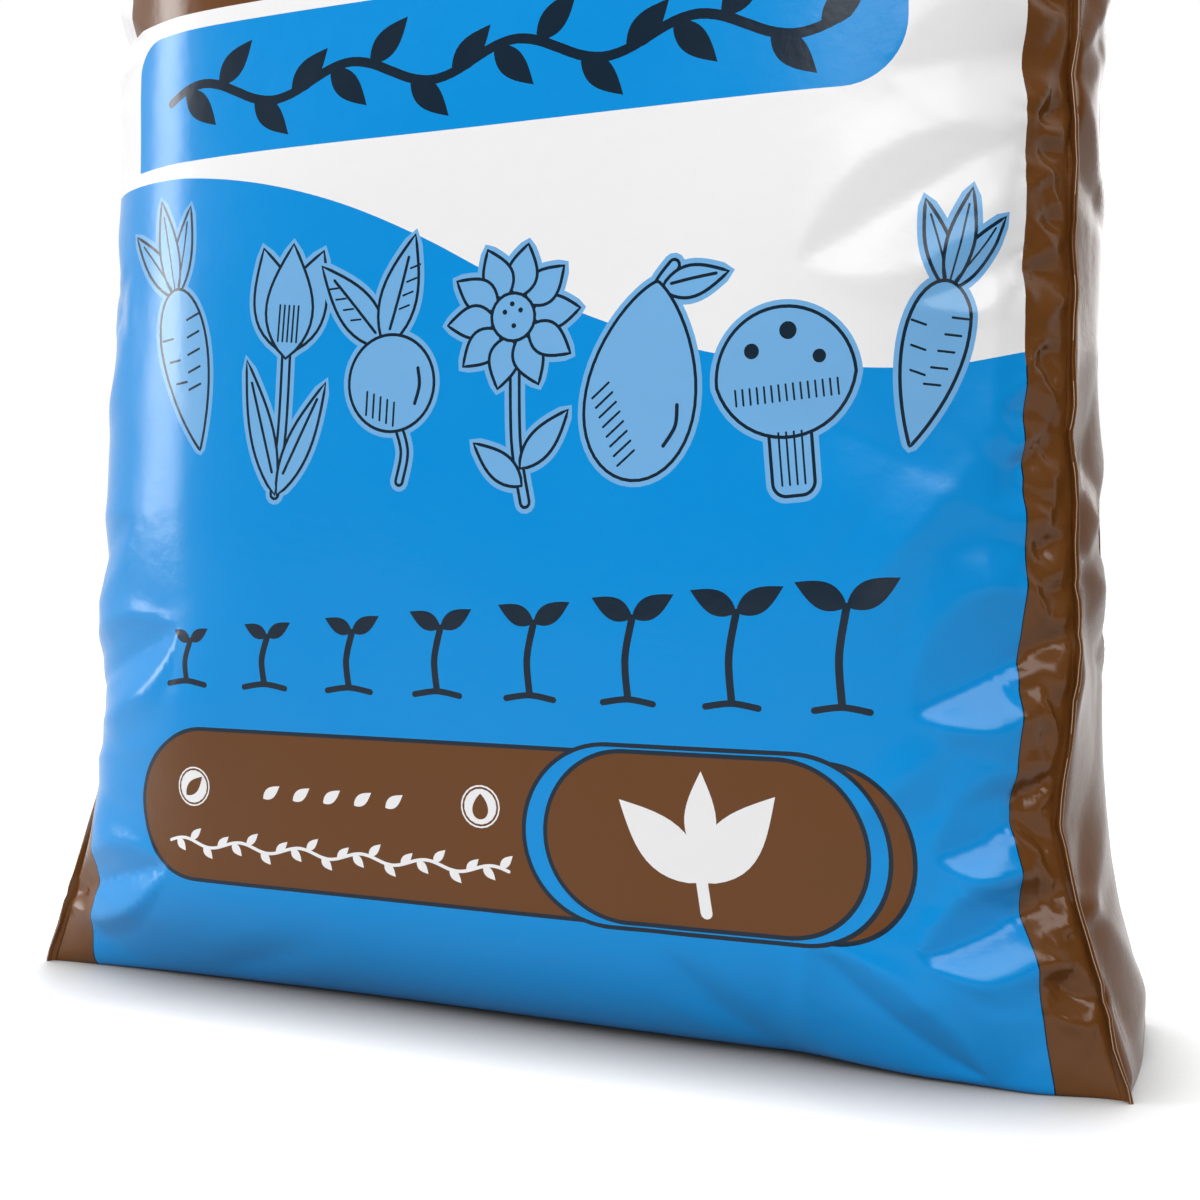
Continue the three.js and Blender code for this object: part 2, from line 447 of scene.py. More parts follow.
def scattered_creases(seed):
    """Fine creases and ridges beside the right seam of the front."""
    chance = np.random.default_rng(seed)
    creases = []
    for way in np.arange(*FINE_WAYS, FINE_GAP):
        across = SEAM_WAY - chance.uniform(*FINE_STARTS)
        start = np.array([across, way + chance.uniform(-FINE_GAP, FINE_GAP) / 2])
        bearing = math.radians(chance.uniform(-FINE_BEARING, FINE_BEARING))
        end = start + chance.uniform(*FINE_LENGTHS) * np.array([-math.cos(bearing), math.sin(bearing)])
        creases.append((start, end, chance.uniform(-FINE_DEPTH, FINE_DEPTH), FINE_WIDTH))
    return creases


def scattered_pockets(seed, side, reaches, widths, gaps, steepness):
    """Pockets along one seam of a panel: side is -1 or 1."""
    chance = np.random.default_rng(seed)
    pockets = []
    way, highest = POCKET_WAYS
    while way < highest:
        lean = chance.uniform(-POCKET_LEAN, POCKET_LEAN)
        reach = chance.uniform(*reaches)
        tip = (side * (SEAM_WAY - reach), way + lean * reach)
        above, below = chance.uniform(*widths, 2)
        depth = steepness * chance.uniform(POCKET_SHALLOWEST, 1) * min(above, below)
        pockets.append(((side * SEAM_WAY, way), tip, above, below, depth))
        way += chance.uniform(*gaps)
    return pockets


# Pinches of the back, and small ones at the right of the front
BACK_RANGES = {"gap": 0.047, "depths": (0.04, 0.09), "reaches": (0.06, 0.11)}
BACK_RIGHT_PINCHES = scattered_pinches(5, **BACK_RANGES)
BACK_LEFT_PINCHES = scattered_pinches(8, **BACK_RANGES)
SMALL_RIGHT_PINCHES = scattered_pinches(13, gap=0.024, depths=(0.06, 0.16), reaches=(0.020, 0.045))
# Pockets of the back, and small ones on the right seam strip of the front
BACK_SHAPES = {
    "reaches": (0.030, 0.080),
    "widths": (0.009, 0.020),
    "gaps": (0.028, 0.062),
    "steepness": 0.22,
}
BACK_POCKETS = scattered_pockets(17, -1, **BACK_SHAPES) + scattered_pockets(19, 1, **BACK_SHAPES)
STRIP_POCKETS = scattered_pockets(
    29, 1, reaches=(0.016, 0.028), widths=(0.0055, 0.0090), gaps=(0.016, 0.034), steepness=0.30)
FINE_CREASES = scattered_creases(23)
# Lumps of the fill behind a panel: their count, spreads and greatest height
LUMP_COUNT = 60
LUMP_SPREADS = (0.020, 0.055)
LUMP_HEIGHT = 0.0011


def fan(way_in, rise, seam_lift, bearing, depth, reach, spread):
    """How far the film stands out, way_in from the seam and rise above the pinch."""
    away = np.hypot(way_in, rise)
    fold_lines = np.clip(bearing + spread * FAN_OFFSETS, -FAN_WIDEST, FAN_WIDEST)
    lines = np.concatenate([[-90], fold_lines, [90]])
    lifts = np.concatenate([[seam_lift], FAN_LIFTS, [seam_lift]])
    lift = np.interp(np.degrees(np.arctan2(rise, np.maximum(way_in, SAME_PLACE))), lines, lifts)
    return depth * lift * away * np.clip(1 - away / reach, 0, 1) ** FAN_FADE


def fans(pinches, way_in, seam_lift=SEAM_LIFT, turned=1):
    """All fans along one seam. `turned` is -1 where the folds of a side run the other way."""
    field = 0
    for way, bearing, *rest in pinches:
        field = field + fan(way_in, ROW_WAY[:, None] - way, seam_lift, turned * bearing, *rest)
    return field


def panel_places():
    """Every point of a panel's grid, as its way across from the middle and up from the base weld."""
    return np.stack(np.broadcast_arrays(PANEL_WAY[None, :], ROW_WAY[:, None]), -1)


def crease(start, end, depth, half_width):
    """A soft groove along a line of the front panel."""
    start = np.array(start)
    line = np.array(end) - start
    place = panel_places() - start
    along = np.clip(place @ line / (line @ line), 0, 1)
    off = np.linalg.norm(place - along[..., None] * line, axis=-1)
    lengthwise = np.sin(np.pi * np.clip(along, CREASE_FADE, 1 - CREASE_FADE))
    return -depth * lengthwise * np.clip(1 - off / half_width, 0, 1) ** CREASE_SHARPNESS


def pocket(start, tip, above, below, depth):
    """A lens of flat facets on both sides of a groove of a panel."""
    start = np.array(start)
    line = np.array(tip) - start
    length = np.hypot(*line)
    place = panel_places() - start
    along = place @ line / length ** 2
    height = (place[..., 0] * line[1] - place[..., 1] * line[0]) / length * -np.sign(line[0])
    width = np.clip(4 * along * (1 - along), 0, 1) ** POCKET_FULLNESS
    across = height / np.where(height > 0, above, below) / np.maximum(width, SAME_PLACE)
    return depth * width * np.interp(across, POCKET_ACROSS, POCKET_LIFTS)


def lumps(seed, columns):
    """Low, broad unevenness of the fill behind one panel."""
    chance = np.random.default_rng(seed)
    field = 0
    for _ in range(LUMP_COUNT):
        across = chance.uniform(columns[0], columns[-1])
        up = chance.uniform(0, ROW_WAY[-1])
        spread = chance.uniform(*LUMP_SPREADS)
        off = ((columns[None, :] - across) ** 2 + (ROW_WAY[:, None] - up) ** 2) / (2 * spread ** 2)
        field = field + chance.uniform(-LUMP_HEIGHT, LUMP_HEIGHT) * np.exp(-off)
    return field


def first_folds():
    """How far the film stands out before it settles."""
    from_left = (PANEL_WAY + SEAM_WAY)[None, :]
    from_right = from_left[:, ::-1]
    depth = seam_half_depth(ROW_Z)[:, None]
    from_first = (SIDE_Q[None, :] + 1) * depth
    from_second = (1 - SIDE_Q[None, :]) * depth
    front = fans(FRONT_RIGHT_PINCHES + SMALL_RIGHT_PINCHES, from_right)
    front = FRONT_FANS * (front + fans(FRONT_LEFT_PINCHES, from_left))
    front = front + sum(pocket(*ends) for ends in FRONT_POCKETS + STRIP_POCKETS)
    front = front + sum(crease(*line) for line in FRONT_CREASES + FINE_CREASES) + lumps(21, PANEL_WAY)
    back = fans(BACK_RIGHT_PINCHES, from_left) + fans(BACK_LEFT_PINCHES, from_right)
    back = back + sum(pocket(*ends) for ends in BACK_POCKETS) + lumps(34, PANEL_WAY)
    right = fans(SIDE_FRONT_PINCHES, from_first, 0) + fans(SIDE_BACK_PINCHES, from_second, 0)
    left = fans(SIDE_FRONT_PINCHES, from_first, 0, -1) + fans(SIDE_BACK_PINCHES, from_second, 0, -1)
    return np.concatenate([front, right, back, left], 1)


# Settling: the film is a little longer than the way it has to cover along the seams, and hardly stretches.
# How much longer, less so at the left of the front, and how far from the seams
GATHER = 0.010
LEFT_GATHER = 0.003
GATHER_ZONE = (-0.5, 0.5)
GATHER_REACH = 0.4
SETTLE_ROUNDS = 60
BEND = 0.03
STIFFNESS = 0.8
# The film may settle this far in or out of its taut form.
DEEPEST = -0.006
HIGHEST = 0.006
# Folds run out above the shoulder, below the weld and towards the base weld.
PAST_SHOULDER = 0.05
BELOW_WELD = 0.005
BASE_FADE = (0.003, 0.018)
# The fill holds the film harder in the middle of a panel than beside its seams.
HOLD = (0.0004, 0.03)
HOLD_ZONE = (0.1, 0.7)


def from_seam():
    """Each column's distance from the nearest edge seam, as a share of half a panel."""
    panel = 1 - np.abs(PANEL_S)
    side = (1 - np.abs(SIDE_Q)) * EAR_DEPTH / BODY_WIDTH
    return np.concatenate([panel, side, panel, side])


def outward(grid):
    """The way the film faces at each point of its grid."""
    up = np.gradient(grid, axis=0)
    wrapped = np.concatenate([grid[:, -1:], grid, grid[:, :1]], 1)
    across = (wrapped[:, 2:] - wrapped[:, :-2]) / 2
    normal = np.cross(across, up)
    return normal / np.maximum(np.linalg.norm(normal, axis=-1, keepdims=True), TINY)


def unevenness(shift):
    """How far each point lies from the mean of its four neighbours."""
    around = np.roll(shift, 1, 1) + np.roll(shift, -1, 1)
    stacked = np.concatenate([shift[:1], shift[:-1]]) + np.concatenate([shift[1:], shift[-1:]])
    return (around + stacked) / 4 - shift


def draw_together(film, first, second, rest):
    """Moves two sets of points, each half way, towards their rest distance."""
    gap = film[second] - film[first]
    length = np.linalg.norm(gap, axis=-1)
    move = gap * (0.5 * STIFFNESS * (1 - rest / np.maximum(length, TINY)))[..., None]
    film[first] += move
    film[second] -= move


def film_ties(form, spare):
    """Neighbouring points of the film in sets that share no point, with their rest distances."""
    rows, columns = form.shape[:2]
    number = np.arange(rows * columns).reshape(rows, columns)
    ahead = np.roll(number, -1, 1)
    points = form.reshape(-1, 3)

    def distance(a, b):
        return np.linalg.norm(points[b] - points[a], axis=-1)

    up = distance(number[:-1], number[1:])
    longer_up = up * spare[:-1]
    growth = longer_up ** 2 - up ** 2
    ties = []
    for first in (0, 1):
        ties.append((number[first:-1:2], number[first + 1::2], longer_up[first::2]))
        ties.append((number[:, first::2], ahead[:, first::2], distance(number, ahead)[:, first::2]))
        for low_end, high_end in ((number[:-1], ahead[1:]), (ahead[:-1], number[1:])):
            slant = np.sqrt(distance(low_end, high_end) ** 2 + growth)
            ties.append((low_end[first::2], high_end[first::2], slant[first::2]))
    return [(a.ravel(), b.ravel(), rest.ravel()) for a, b, rest in ties]


def settle_film(form):
    """Lays the folds into the taut film and lets it settle on the fill."""
    normal = outward(form)
    share = from_seam()[None, :]
    body = (1 - smooth(ROW_Z, SHOULDER_HEIGHT + PAST_SHOULDER, WELD_HEIGHT - BELOW_WELD))[:, None]
    base = smooth(ROW_WAY, *BASE_FADE)[:, None]
    film = form + normal * (first_folds() * body * base)[..., None]
    others = np.full(PANEL_COUNT + 2 * SIDE_COUNT, GATHER)
    gather = np.concatenate([lerp(LEFT_GATHER, GATHER, smooth(PANEL_S, *GATHER_ZONE)), others])
    spare = 1 + gather * np.clip(1 - share / GATHER_REACH, 0, 1) ** 2 * body
    ties = film_ties(film, spare)
    hold = lerp(*HOLD, smooth(share, *HOLD_ZONE))
    hold = np.maximum(hold, np.maximum(1 - body, 1 - base))[..., None]
    start = film - form
    for _ in range(SETTLE_ROUNDS):
        points = film.reshape(-1, 3)
        for first, second, rest in ties:
            draw_together(points, first, second, rest)
        shift = points.reshape(form.shape) - form
        shift -= BEND * unevenness(unevenness(shift))
        shift += hold * (start - shift)
        depth = (shift * normal).sum(-1, keepdims=True)
        shift += normal * (np.clip(depth, DEEPEST, HIGHEST) - depth)
        film = form + shift
        film[..., 2] = np.maximum(film[..., 2], 0)
    return film


form = film_form()
film = settle_film(form)


# Smooth sampling of the film between its grid points

def film_at(grid, row, column):
    """Points of a grid at fractions of its rows and columns."""
    rows, row_shares = curve_shares(row, grid.shape[0])
    columns, column_shares = curve_shares(column, grid.shape[1])
    near = grid[rows[:, :, None], columns[:, None, :]]
    return np.einsum("nr,nc,nrcx->nx", row_shares, column_shares, near)


def film_with_normals(grid, row, column):
    """Points of a grid and the way the film faces there."""
    across = film_at(grid, row, column + SLOPE_STEP) - film_at(grid, row, column - SLOPE_STEP)
    up = film_at(grid, row + SLOPE_STEP, column) - film_at(grid, row - SLOPE_STEP, column)
    normal = np.cross(across, up)
    normal /= np.maximum(np.linalg.norm(normal, axis=1, keepdims=True), TINY)
    return film_at(grid, row, column), normal


def kept_in(points):
    """The points kept between the floor and the top, and above the shoulder within the header's width."""
    x, y, z = points.T
    wide = np.where(z > SHOULDER_HEIGHT, PANEL_WIDTH / 2, EAR_SPAN)
    return np.stack([np.clip(x, -wide, wide), y, np.clip(z, 0, HEIGHT)], 1)


def seam_groove(distance, z):
    """The film dips just before it runs out into the pressed seam."""
    return GROOVE_DEPTH * np.exp(-(distance / GROOVE_WIDTH) ** 2) * (1 - closing(z))


# Columns of the film: the panels, and the sides with the seam on either hand
FRONT = slice(0, PANEL_COUNT)
BACK = slice(PANEL_COUNT + SIDE_COUNT, 2 * PANEL_COUNT + SIDE_COUNT)
RIGHT = np.arange(PANEL_COUNT - 1, PANEL_COUNT + SIDE_COUNT + 1)
LEFT = np.concatenate([np.arange(2 * PANEL_COUNT + SIDE_COUNT - 1, 2 * PANEL_COUNT + 2 * SIDE_COUNT), [0]])

row_count = int(round(ROW_WAY[-1] / ROW_STEP)) + 1
mesh_rows = np.linspace(0, len(ROW_WAY) - 1, row_count)
mesh_way = np.interp(mesh_rows, np.arange(len(ROW_WAY)), ROW_WAY)


def mirrored_places(step):
    """Places across a panel, closer together beside the seams."""
    edge = np.concatenate([SEAM_PLACES, np.arange(SEAM_PLACES[-1] + EDGE_STEP, EDGE_ZONE, EDGE_STEP)])
    middle = np.linspace(EDGE_ZONE, SEAM_WAY, int((SEAM_WAY - EDGE_ZONE) / step) + 1)
    left = np.concatenate([edge, middle]) - SEAM_WAY
    return np.concatenate([left, -left[-2::-1]])


# Print on the front, in millimetres across the film from its middle and up the film from the base weld.
# Later items cover earlier ones.

LINE_STEP = 2.2
DARK_LINE = 0.75
PALE_RIM = 2.4
# A garland's leaves point along the stem and away from it, as shares of their length.
GARLAND_LEAN = (0.72, 0.70)
# Heights and leaf lengths of the first and the last seedling, and their leaves as shares of the length
SEEDLING_HEIGHTS = (15, 32)
SEEDLING_LEAVES = (9, 17)
LEAF_RISES = {1: 0.55, -1: 0.45}
LEAF_WIDTH = 0.52


def curve(points, count=24):
    """A smooth line through a few points."""
    points = np.array(points, float)
    place = np.linspace(0, len(points) - 1, count)
    near, shares = curve_shares(place, len(points))
    return np.einsum("nk,nkx->nx", shares, points[near])


def arc(centre, radius, start, end, count=12):
    angle = np.radians(np.linspace(start, end, count))
    return np.array(centre) + radius * np.stack([np.cos(angle), np.sin(angle)], 1)


def disc(centre, radius):
    return arc(centre, radius, 0, 360, max(16, int(radius * 3)))[:-1]


def rounded(left, right, bottom, top, bottom_left, bottom_right, top_right, top_left):
    """A rectangle with a radius at each corner."""
    return np.concatenate([
        arc((left + bottom_left, bottom + bottom_left), bottom_left, 180, 270),
        arc((right - bottom_right, bottom + bottom_right), bottom_right, 270, 360),
        arc((right - top_right, top - top_right), top_right, 0, 90),
        arc((left + top_left, top - top_left), top_left, 90, 180),
    ])


def stadium(left, right, bottom, top):
    radius = (top - bottom) / 2
    middle = (top + bottom) / 2
    left_end = arc((left + radius, middle), radius, 90, 270, 40)
    right_end = arc((right - radius, middle), radius, -90, 90, 40)
    return np.concatenate([left_end, right_end])


def leaf(root, tip, width):
    """A pointed leaf, widest nearer its root."""
    root = np.array(root, float)
    along = np.array(tip) - root
    across = np.array([-along[1], along[0]]) / np.hypot(*along)
    t = np.linspace(0, 1, 14)[:, None]
    bow = width / 2 * np.sin(np.pi * t ** 0.8) * across
    return np.concatenate([root + along * t - bow, (root + along * t + bow)[-2:0:-1]])


def stroke(points, width):
    """A line of even width with round ends."""
    line = curve(points)
    along = np.gradient(line, axis=0)
    along /= np.linalg.norm(along, axis=1, keepdims=True)
    across = np.stack([-along[:, 1], along[:, 0]], 1) * width / 2
    heading = np.degrees(np.arctan2(along[:, 1], along[:, 0]))
    end = arc(line[-1], width / 2, heading[-1] - 90, heading[-1] + 90, 7)[1:-1]
    start = arc(line[0], width / 2, heading[0] + 90, heading[0] + 270, 7)[1:-1]
    return np.concatenate([line - across, end, (line + across)[::-1], start])


def drop(centre, length, width, fullness):
    """A drop with its point downwards."""
    angle = np.linspace(0, 2 * np.pi, 48)[:-1]
    x = width / 2 * np.sin(angle) * np.sin(angle / 2) ** fullness
    return np.array(centre) + np.stack([x, -length / 2 * np.cos(angle)], 1)


def placed(outline, at, tilt, size):
    turn = np.radians(tilt)
    matrix = np.array([[np.cos(turn), np.sin(turn)], [-np.sin(turn), np.cos(turn)]])
    return np.array(at) + size * outline @ matrix


def grown(outline, by):
    """The outline moved out all round."""
    along = np.roll(outline, -1, 0) - np.roll(outline, 1, 0)
    along /= np.maximum(np.linalg.norm(along, axis=1, keepdims=True), TINY)
    area = np.sum(outline[:, 0] * np.roll(outline[:, 1], -1) - outline[:, 1] * np.roll(outline[:, 0], -1))
    out = np.stack([along[:, 1], -along[:, 0]], 1) * np.sign(area)
    return outline + by * out


def hatching(first, last, count, stroke_way, width):
    """Short parallel lines, spread evenly from a first to a last place."""
    starts = np.linspace(first, last, count)
    whole = np.array(stroke_way, float)
    return [stroke([start, start + whole / 2, start + whole], width) for start in starts]


def carrot():
    fills = [leaf((0, 26), (-16, 56), 9), leaf((0, 26), (15, 57), 9), leaf((0, 26), (0, 64), 10)]
    fills.append(drop((0, -2), 62, 30, 0.9))
    lines = hatching((10, 17), (5.5, -9), 5, (-6, -0.8), 0.9)
    lines += hatching((-10.5, 12), (-6.5, -6), 3, (5.5, -0.6), 0.9)
    lines += [stroke([(0, 30), (0, 45), (0, 58)], 0.8), stroke([(-2, 30), (-8, 42), (-13, 51)], 0.8)]
    lines.append(stroke([(2, 30), (8, 42), (12, 52)], 0.8))
    return fills, lines


def radish():
    fills = [leaf((0, 8), (-20, 42), 14), leaf((0, 8), (19, 44), 14)]
    fills += [stroke([(0, -20), (1, -30), (-3, -40)], 2.4), disc((0, -5), 17)]
    lines = [stroke([(-3, 14), (-10, 26), (-16, 36)], 1.1), stroke([(3, 14), (10, 27), (15, 37)], 1.1)]
    lines.append(stroke([(8, -14), (11, -8), (11.5, -2)], 1.3))
    lines += hatching((-12, -14), (-2, -20), 5, (2, 8), 0.8)
    for side in (-1, 1):
        lines += hatching((side * 8, 20), (side * 15, 33), 4, (side * 4, 0.5), 0.7)
    return fills, lines


def tulip():
    fills = [stroke([(0, -44), (1, -20), (0, 12)], 3)]
    fills += [leaf((0, -44), (-17, 4), 10), leaf((1, -44), (18, -2), 10)]
    fills += [leaf((0, 8), (-13, 45), 19), leaf((0, 8), (13, 45), 19), leaf((0, 6), (0, 47), 20)]
    lines = [stroke([(-2, -36), (-8, -20), (-14, -4)], 1.1), stroke([(3, -36), (9, -22), (15, -8)], 1.1)]
    lines += hatching((-4, 12), (4, 12), 5, (0, 13), 0.8)
    return fills, lines


def pear():
    fills = [stroke([(0, 26), (1, 34), (5, 41)], 3.4), leaf((2, 33), (24, 41), 10)]
    fills.append(placed(drop((0, 0), 66, 46, 0.55), (0, 2), 180, 1))
    lines = [stroke([(5, 35), (12, 37.5), (20, 40)], 1.1), stroke([(11, -18), (14, -11), (13.5, -4)], 1.3)]
    lines += hatching((-17, -6), (-4, -27), 8, (5, 6), 0.8)
    return fills, lines


def daisy():
    fills = [stroke([(0, -46), (-2, -24), (0, 10)], 3)]
    fills += [leaf((-1, -34), (18, -16), 9), leaf((-1, -40), (-18, -24), 9)]
    heart = np.array([0, 18])
    for angle in np.radians(np.arange(0, 360, 36)):
        way = np.array([math.cos(angle), math.sin(angle)])
        fills.append(leaf(heart + 7 * way, heart + 25 * way, 11))
    fills.append(disc(heart, 8))
    lines = [disc((-3, 20), 0.9), disc((3, 20), 0.9), disc((0, 15), 0.9), disc((0, 22.5), 0.9)]
    return fills, lines


def toadstool():
    cap = np.concatenate([arc((0, 8), 27, 0, 180, 30), arc((0, 14), 27.7, 193, 347, 20)])
    fills = [rounded(-8, 8, -36, 10, 5, 5, 2, 2), cap]
    lines = [disc((-12, 20), 3), disc((3, 26), 3.4), disc((14, 15), 2.6)]
    lines += hatching((-20, 0), (20, 0), 15, (0, 6), 0.8)
    lines += hatching((-4.5, -32), (4.5, -32), 4, (0, 20), 0.8)
    return fills, lines


def drawing(motif, at, tilt=0, size=1):
    """A motif in pale ink with dark lines and a pale rim."""
    fills, lines = motif()
    fills = [placed(outline, at, tilt, size) for outline in fills]
    items = [("pale", grown(outline, PALE_RIM)) for outline in fills]
    for outline in fills:
        items.append(("navy", grown(outline, DARK_LINE)))
        items.append(("pale", grown(outline, -DARK_LINE / 2)))
    return items + [("navy", placed(outline, at, tilt, size)) for outline in lines]


def garland(left, right, level, swing, wave, leaf_length, leaf_width, line_width, ink):
    """A swinging stem with leaves on both sides."""
    across = np.arange(left, right, wave / 8)
    stem = [(u, level + swing * math.sin(2 * math.pi * (u - left) / wave)) for u in across]
    items = [(ink, stroke(stem[first:first + 9], line_width)) for first in range(0, len(stem) - 2, 8)]
    for place, (u, v) in enumerate(stem[1:-1:2]):
        side = 1 if place % 2 else -1
        tip = (u + GARLAND_LEAN[0] * leaf_length, v + side * GARLAND_LEAN[1] * leaf_length)
        items.append((ink, leaf((u, v), tip, leaf_width)))
    return items


def seedlings(left, right, ground, count):
    """A row of seedlings, each taller than the last."""
    items = []
    for place, u in enumerate(np.linspace(left, right, count)):
        tall = lerp(*SEEDLING_HEIGHTS, place / (count - 1))
        spread = lerp(*SEEDLING_LEAVES, place / (count - 1))
        top = (u + 1.5, ground + tall)
        items.append(("navy", stroke([(u, ground), (u - 1, ground + tall / 2), top], 2.6)))
        for side, rise in LEAF_RISES.items():
            tip = (top[0] + side * spread, top[1] + rise * spread)
            items.append(("navy", leaf(top, tip, LEAF_WIDTH * spread)))
        soil = [(u - 9, ground - 1.5), (u, ground - 0.2), (u + 9, ground - 1.5)]
        items.append(("navy", stroke(soil, 2.2)))
    return items


# The print's sides and top, and its edge beside the brown seam strips, from the base up
PRINT_SIDE = 186.5
PRINT_TOP = 575
PRINT_EDGE = [(176, 0), (181, 35), (184, 57), (185, 125), (PRINT_SIDE, 180), (PRINT_SIDE, PRINT_TOP)]
# A fine dark rim beside the blue of the print: its width, and where it ends
RIM_WIDTH = 0.6
RIM_TOP = 246
# The white sky's lower edge, from left to right
SKY_EDGE = [(-190, 329.5), (-155, 329), (-125, 327.5), (-91, 322), (-57, 312), (-24, 297.5),
            (7, 281), (45, 264.5), (80, 253), (115, 247), (154, 245.4), (190, 251)]
SKY_POINTS = 120
SKY_INSET = 0.3


def both_sides(right):
    """A closed outline from its right half."""
    return np.concatenate([right, (right * (-1, 1))[::-1]])


def print_field():
    return both_sides(np.array(PRINT_EDGE, float))


def print_rim():
    return both_sides(np.array(PRINT_EDGE[:-1] + [(PRINT_SIDE, RIM_TOP)]) + (RIM_WIDTH, 0))


def sky():
    edge = curve(SKY_EDGE, SKY_POINTS)
    edge = edge[np.abs(edge[:, 0]) < PRINT_SIDE - SKY_INSET]
    left_end = [(-PRINT_SIDE, edge[0][1])]
    right_end = [(PRINT_SIDE, edge[-1][1]), (PRINT_SIDE, PRINT_TOP), (-PRINT_SIDE, PRINT_TOP)]
    return np.concatenate([left_end, edge, right_end])


def pills():
    """The brown pill with a second one lying on its right end, both with dark edges."""
    long_pill = stadium(-149.6, 148.6, 61, 120.5)
    gap = stadium(15.5, 139.5, 61, 121.5)
    short_pill = stadium(22, 134, 61.5, 121)
    edge = 1.5
    return [
        ("navy", long_pill), ("brown", grown(long_pill, -edge)),
        ("navy", grown(gap, edge)), ("blue", gap),
        ("navy", short_pill), ("brown", grown(short_pill, -edge)),
    ]


def pill_marks():
    """White marks on the pills: a leaf and a drop in rings, a fine garland, and a seedling."""
    items = []
    for at in ((-124, 97.5), (-2, 98)):
        items += [("white", disc(at, 7.6)), ("brown", disc(at, 7.0)), ("white", disc(at, 6.3))]
    items.append(("brown", leaf((-127.5, 94), (-120, 101.5), 5)))
    items.append(("brown", placed(drop((0, 0), 9, 7.5, 0.7), (-2, 98), 180, 1)))
    items += [("white", leaf((u, 95), (u + 7, 100), 4.2)) for u in (-92, -79, -66, -53, -40)]
    items += garland(-134, 10, 76, 1.5, 26, 6.5, 3.2, 1.2, "white")
    items += [("white", leaf((78, 78), (104, 108), 17)), ("white", leaf((78, 78), (50, 104), 17))]
    items.append(("white", stroke([(79, 68), (78, 80), (78, 90)], 4)))
    items.append(("white", leaf((78, 86), (79, 115), 11)))
    return items


def front_print():
    items = [("navy", print_rim()), ("blue", print_field()), ("white", sky())]
    items.append(("blue", rounded(-154, 147, 334, 383, 0.5, 21, 0.5, 12)))
    items.append(("brown", rounded(-160, 147, 389, 500, 0.5, 14, 14, 14)))
    items += garland(-136, 130, 357, 5, 66, 21, 9.5, 3.4, "navy")
    items += drawing(carrot, (-128, 258), 12)
    items += drawing(tulip, (-82, 252), -6)
    items += drawing(radish, (-38, 252), 10)
    items += drawing(daisy, (12, 250), 4)
    items += drawing(pear, (58, 242), -10)
    items += drawing(toadstool, (108, 236), 5, 0.85)
    items += drawing(carrot, (154, 248), -14, 0.85)
    items += seedlings(-128, 126, 138, 8)
    return items + pills() + pill_marks()


def closely_spaced(outline):
    """The outline with points added, so that it follows the film."""
    after = np.roll(outline, -1, 0)
    points = []
    for start, end in zip(outline, after):
        count = max(1, math.ceil(np.hypot(*(end - start)) / LINE_STEP))
        points += [start + (end - start) * step / count for step in range(count)]
    return np.array(points)


# The bag's mesh: printed front, seams, sides, back, base and header in one closed skin

# The last ink is no print: it is a paler brown painted on the fin lips as a highlight.
INKS = ["brown", "white", "blue", "pale", "navy", "painted_highlight"]
MM = 0.001
# The print is looked up for this many faces at a time.
FACES_AT_ONCE = 4000
# Seeds of a fin's length and of its strips of painted highlight, added to the seam's own
LENGTH_SEED = 50
HIGHLIGHT_SEED = 60


class Skin:
    """Points, faces and inks of the bag's mesh as it grows."""

    def __init__(self):
        self.points = []
        self.count = 0
        self.faces = []
        self.inks = []
        self.normals = {}
        self.sharp = []

    def add_points(self, points):
        self.points.append(np.asarray(points, float))
        first = self.count
        self.count += len(points)
        return np.arange(first, self.count)

    def add_faces(self, faces, inks):
        self.faces += faces
        self.inks += inks

    def add_strip(self, columns, inks="brown"):
        """Faces between neighbouring columns of point numbers. `inks` is one ink, or a grid of them."""
        grid = np.stack(columns, 1)
        quads = np.stack([grid[:-1, :-1], grid[:-1, 1:], grid[1:, 1:], grid[1:, :-1]], -1).reshape(-1, 4)
        plain = [inks] * len(quads) if isinstance(inks, str) else list(np.asarray(inks).ravel())
        self.add_faces(quads.tolist(), plain)

    def add_cap(self, ring, flip):
        """A flat face of triangles across a ring."""
        loop = [Vector(point) for point in np.concatenate(self.points)[ring]]
        faces = [[int(ring[corner]) for corner in face] for face in tessellate_polygon([loop])]
        self.add_faces([face[::-1] if flip else face for face in faces], ["brown"] * len(faces))

    def mark_sharp(self, column):
        self.sharp.append(np.stack([column[:-1], column[1:]], 1))


def inside(places, outline):
    """Which places lie inside a closed outline."""
    x, y = places.T[:, :, None]
    (x0, y0), (x1, y1) = outline.T[:, None, :], np.roll(outline, -1, 0).T[:, None, :]
    beside = (y0 <= y) != (y1 <= y)
    with np.errstate(divide="ignore", invalid="ignore"):
        left_of = x < x0 + (y - y0) * (x1 - x0) / (y1 - y0)
    return np.count_nonzero(beside & left_of, axis=1) % 2 == 1


def painted(places, items):
    """The ink at each place, where later items of the print cover earlier ones."""
    inks = np.full(len(places), "brown", dtype=object)
    for ink, outline in items:
        near = np.all((places >= outline.min(0)) & (places <= outline.max(0)), axis=1)
        near = np.flatnonzero(near)
        for part in np.array_split(near, len(near) // FACES_AT_ONCE + 1):
            inks[part[inside(places[part], outline)]] = ink
    return inks.tolist()


def front_places():
    """Places of the front's mesh, in rows beside the seams and then in ever coarser bands."""
    bands = [(SEAM_PLACES, mesh_way)]
    for start, end, step in FRONT_BANDS:
        rows = np.linspace(0, mesh_way[-1], int(mesh_way[-1] / step) + 1)
        bands.append((np.arange(start, end, step), rows))
    places = [np.stack(np.meshgrid(SEAM_WAY - columns, rows), -1).reshape(-1, 2) for columns, rows in bands]
    right = np.concatenate(places)
    return np.concatenate([right, right * (-1, 1)])


